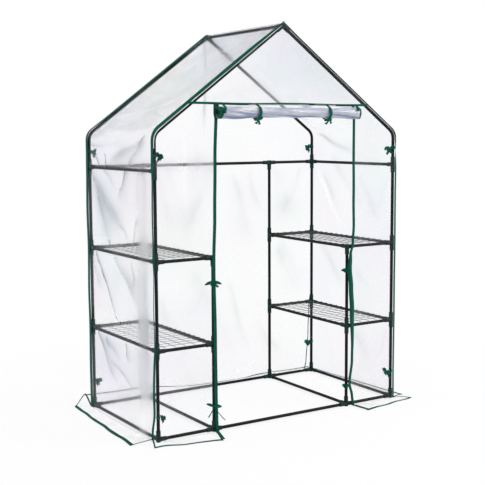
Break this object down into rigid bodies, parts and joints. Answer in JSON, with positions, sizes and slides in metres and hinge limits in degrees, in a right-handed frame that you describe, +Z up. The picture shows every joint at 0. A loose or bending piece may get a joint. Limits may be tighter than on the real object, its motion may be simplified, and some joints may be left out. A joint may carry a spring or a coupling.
{
  "type": "walk-in film greenhouse",
  "caption": "Walk-in garden greenhouse: a push-fit steel tube frame with wire shelves on both sides, under a clear film cover with a gable roof and a rolled-up door.",
  "frame": {"origin": "on the ground, in the middle of the cover and its ground flaps", "axes": "+X to the right seen from the door, +Y from the door to the back, +Z up"},
  "size_m": [1.693, 0.997, 1.9578],
  "materials": {
    "coated_steel": "satin dark coating on thin steel tube",
    "shelf_wire": "coated steel wire",
    "connector_plastic": "moulded dark green plastic",
    "clear_film": "clear creased film",
    "green_trim": "woven green binding tape"
  },
  "bodies": {
    "root": {"base_front_rail": "coated_steel", "base_back_rail": "coated_steel", "base_side_rails": "coated_steel", "base_cross_rails": "coated_steel", "front_left_post": "coated_steel", "front_right_post": "coated_steel", "back_left_post": "coated_steel", "back_right_post": "coated_steel", "front_shelf_posts": "coated_steel", "back_shelf_posts": "coated_steel", "back_eave_rail": "coated_steel", "side_eave_rails": "coated_steel", "front_rafters": "coated_steel", "back_rafters": "coated_steel", "ridge_tube": "coated_steel", "shelf_frame_left_lower": "coated_steel", "shelf_frame_left_upper": "coated_steel", "shelf_frame_right_lower": "coated_steel", "shelf_frame_right_upper": "coated_steel", "shelf_mesh_left_lower": "shelf_wire", "shelf_mesh_left_upper": "shelf_wire", "shelf_mesh_right_lower": "shelf_wire", "shelf_mesh_right_upper": "shelf_wire", "base_connectors": "connector_plastic", "lower_shelf_connectors": "connector_plastic", "upper_shelf_connectors": "connector_plastic", "eave_connectors": "connector_plastic", "ridge_connectors": "connector_plastic", "left_wall_film": "clear_film", "right_wall_film": "clear_film", "eave_films": "clear_film", "left_roof_film": "clear_film", "right_roof_film": "clear_film", "back_wall_film": "clear_film", "front_gable_film": "clear_film", "front_left_film": "clear_film", "front_right_film": "clear_film", "ground_skirts": "clear_film", "rolled_door": "clear_film", "roll_ties": "green_trim", "door_tapes": "green_trim", "door_head_piping": "green_trim", "front_edge_piping": "green_trim", "back_edge_piping": "green_trim"}
  },
  "joints": []
}
